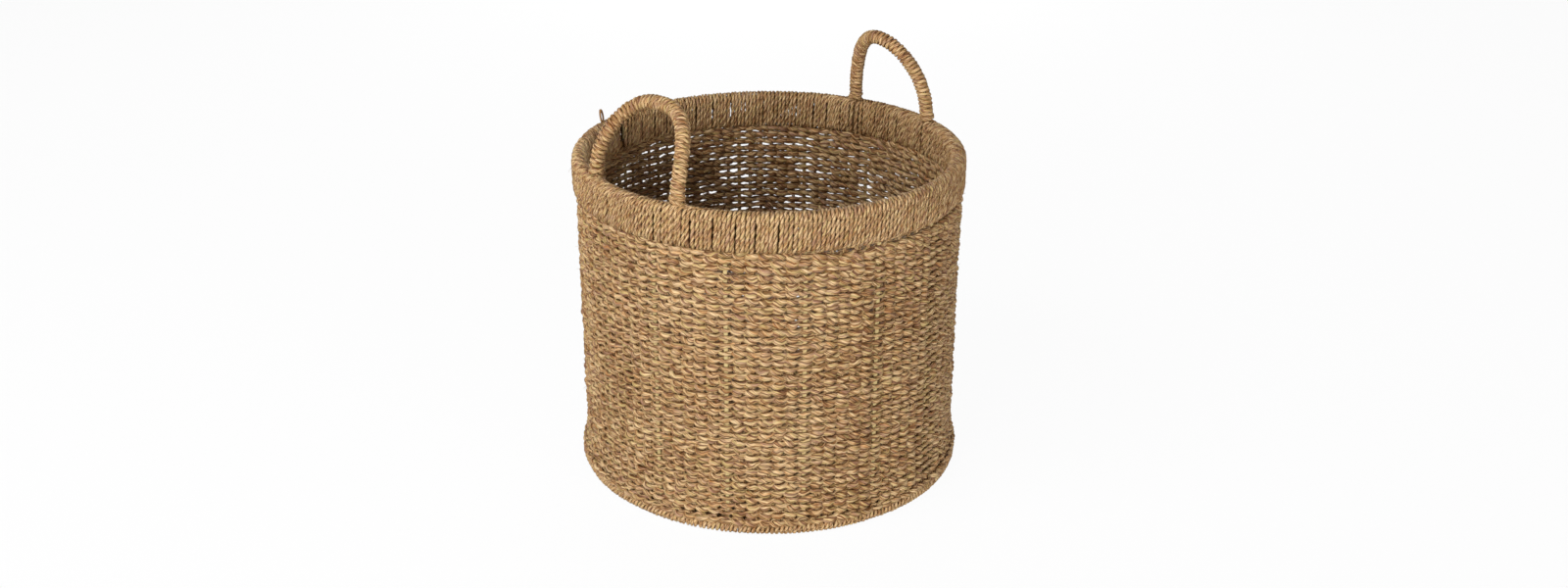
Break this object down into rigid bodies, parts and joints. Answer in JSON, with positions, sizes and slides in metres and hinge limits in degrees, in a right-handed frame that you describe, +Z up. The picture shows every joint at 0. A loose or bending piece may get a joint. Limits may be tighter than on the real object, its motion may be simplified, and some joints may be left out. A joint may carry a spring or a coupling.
{
  "type": "round woven storage basket",
  "caption": "Round woven seagrass basket for magazines, with a wrapped rim band, a wrapped foot ring and two stiff arched handles.",
  "frame": {"origin": "middle of the underside, on the floor", "axes": "+Z up through the middle of the basket; the two handles stand within 1.5 degrees of the X axis, the one that leans in more on -X"},
  "size_m": [0.404, 0.404, 0.427],
  "materials": {
    "wall_seagrass": "dry twisted seagrass cord in twined rows, straw, tan and olive",
    "base_seagrass": "dry twisted seagrass cord woven round the spokes",
    "foot_seagrass": "seagrass cord wound tightly round a hoop",
    "rim_seagrass": "seagrass cord wound upright over the rim hoops",
    "handle_seagrass": "seagrass cord wound round a bent core, paler straw",
    "stake_cane": "pale yellow-green split cane, smooth",
    "hoop_cane": "bent cane hoop, hidden under the wrapping",
    "handle_core_cane": "bent cane rod, hidden under the wrapping"
  },
  "bodies": {
    "root": {"woven_wall": "wall_seagrass", "woven_base": "base_seagrass", "foot_ring_wrap": "foot_seagrass", "foot_hoop": "hoop_cane", "rim_band_wrap": "rim_seagrass", "rim_top_hoop": "hoop_cane", "rim_inner_hoop": "hoop_cane", "rim_outer_hoop": "hoop_cane", "handle_left_core": "handle_core_cane", "handle_left_wrap": "handle_seagrass", "handle_right_core": "handle_core_cane", "handle_right_wrap": "handle_seagrass", "stake_01": "stake_cane", "stake_02": "stake_cane", "stake_03": "stake_cane", "stake_04": "stake_cane", "stake_05": "stake_cane", "stake_06": "stake_cane", "stake_07": "stake_cane", "stake_08": "stake_cane", "stake_09": "stake_cane", "stake_10": "stake_cane", "stake_11": "stake_cane", "stake_12": "stake_cane", "stake_13": "stake_cane", "stake_14": "stake_cane", "stake_15": "stake_cane", "stake_16": "stake_cane"}
  },
  "joints": []
}
